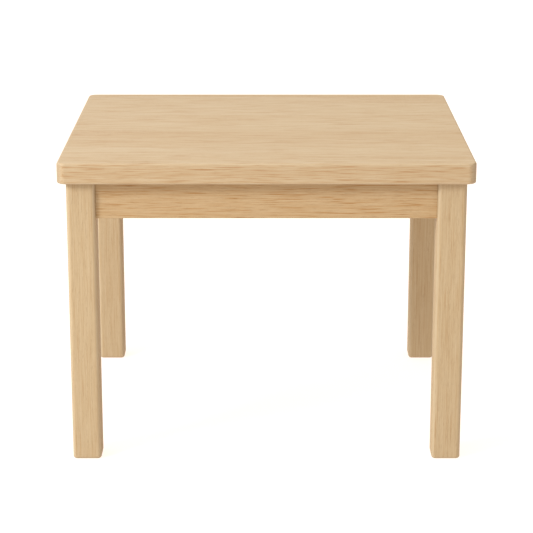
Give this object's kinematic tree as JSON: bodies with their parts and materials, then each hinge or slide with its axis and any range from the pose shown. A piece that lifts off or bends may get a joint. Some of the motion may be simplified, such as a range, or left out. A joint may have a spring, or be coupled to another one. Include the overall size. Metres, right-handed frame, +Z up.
{
  "type": "communion table",
  "caption": "Plain solid-oak communion table: thick rounded top, square rounded legs, a flush-topped rail on every side and nothing below the rails.",
  "frame": {"origin": "on the floor, below the middle of the tabletop", "axes": "+X to the right along the width, +Y from the front to the back, +Z up; the front view looks along +Y"},
  "size_m": [1, 0.9, 0.755],
  "materials": {
    "oak_top": "clear satin lacquer over pale straight-grained oak, grain along X",
    "oak_legs": "clear matt lacquer over pale oak, grain along Z",
    "oak_rails": "clear matt lacquer over pale oak, grain along each rail",
    "beech_blocks": "sawn and sanded beech, unfinished",
    "beech_buttons": "sawn and sanded beech, unfinished",
    "steel_screws": "bright zinc-plated steel"
  },
  "bodies": {
    "root": {"tabletop": "oak_top", "leg_front_left": "oak_legs", "leg_front_right": "oak_legs", "leg_back_right": "oak_legs", "leg_back_left": "oak_legs", "rail_front": "oak_rails", "rail_right": "oak_rails", "rail_back": "oak_rails", "rail_left": "oak_rails", "corner_block_front_left": "beech_blocks", "corner_block_front_right": "beech_blocks", "corner_block_back_right": "beech_blocks", "corner_block_back_left": "beech_blocks", "button_front_1": "beech_buttons", "button_front_2": "beech_buttons", "button_front_3": "beech_buttons", "button_right_1": "beech_buttons", "button_right_2": "beech_buttons", "button_back_1": "beech_buttons", "button_back_2": "beech_buttons", "button_back_3": "beech_buttons", "button_left_1": "beech_buttons", "button_left_2": "beech_buttons", "block_screw_front_left_lower_a": "steel_screws", "block_screw_front_left_lower_b": "steel_screws", "block_screw_front_left_upper_a": "steel_screws", "block_screw_front_left_upper_b": "steel_screws", "block_screw_front_right_lower_a": "steel_screws", "block_screw_front_right_lower_b": "steel_screws", "block_screw_front_right_upper_a": "steel_screws", "block_screw_front_right_upper_b": "steel_screws", "block_screw_back_right_lower_a": "steel_screws", "block_screw_back_right_lower_b": "steel_screws", "block_screw_back_right_upper_a": "steel_screws", "block_screw_back_right_upper_b": "steel_screws", "block_screw_back_left_lower_a": "steel_screws", "block_screw_back_left_lower_b": "steel_screws", "block_screw_back_left_upper_a": "steel_screws", "block_screw_back_left_upper_b": "steel_screws", "button_screw_front_1": "steel_screws", "button_screw_front_2": "steel_screws", "button_screw_front_3": "steel_screws", "button_screw_right_1": "steel_screws", "button_screw_right_2": "steel_screws", "button_screw_back_1": "steel_screws", "button_screw_back_2": "steel_screws", "button_screw_back_3": "steel_screws", "button_screw_left_1": "steel_screws", "button_screw_left_2": "steel_screws"}
  },
  "joints": []
}
